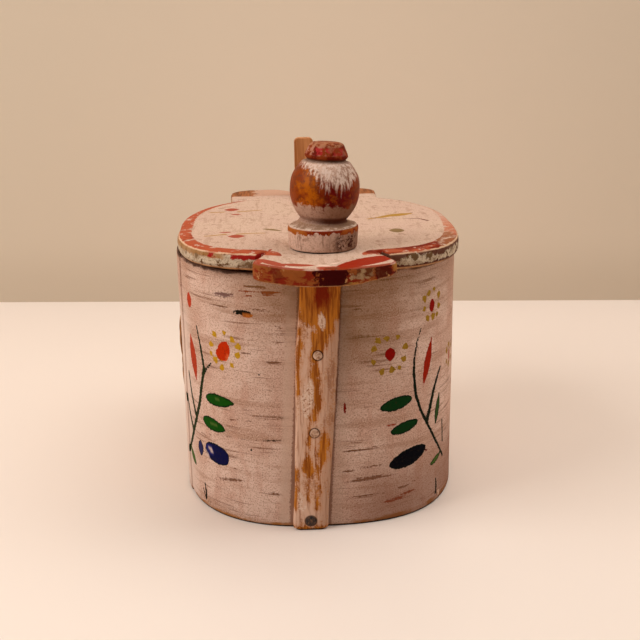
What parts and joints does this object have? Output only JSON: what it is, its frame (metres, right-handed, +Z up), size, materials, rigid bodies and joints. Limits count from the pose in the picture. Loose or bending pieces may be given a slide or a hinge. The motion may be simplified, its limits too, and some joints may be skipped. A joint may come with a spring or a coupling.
{
  "type": "tine box",
  "caption": "Oval lidded box of bent wood with end posts, a forked board lid that tilts open and a turned knob, painted with flowers.",
  "frame": {"origin": "middle of the face that the box stands on", "axes": "+Z up through the lid, +Y along the box from the knob and short post to the tall post, +X across the box"},
  "size_m": [0.1411, 0.2113, 0.1813],
  "materials": {
    "band_paint": "worn milk paint over spruce",
    "lid_paint": "worn milk paint over pine, red edge stripe",
    "knob_paint": "worn paint over turned birch, polished by hands",
    "post_wood": "worn paint over bare wood",
    "far_post_wood": "bare aged wood",
    "bare_pine": "bare aged pine",
    "peg_wood": "bare end grain",
    "root": "dark split root",
    "iron": "dark forged iron"
  },
  "bodies": {
    "box": {"band": "band_paint", "root_lacing": "root", "bottom_board": "bare_pine", "bottom_pegs": "peg_wood", "near_post": "post_wood", "near_post_pegs": "peg_wood", "near_post_nail": "iron", "far_post": "far_post_wood", "far_post_pegs": "peg_wood", "far_post_nail": "iron"},
    "lid": {"lid_board": "lid_paint", "knob": "knob_paint", "knob_wedge": "bare_pine"}
  },
  "joints": [
    {"name": "lid_tilt", "type": "hinge", "parent": "box", "child": "lid", "pos_m": [-0.002, 0.0798, 0.1294], "axis": [-1, 0, 0], "range_deg": [0, 22]}
  ]
}
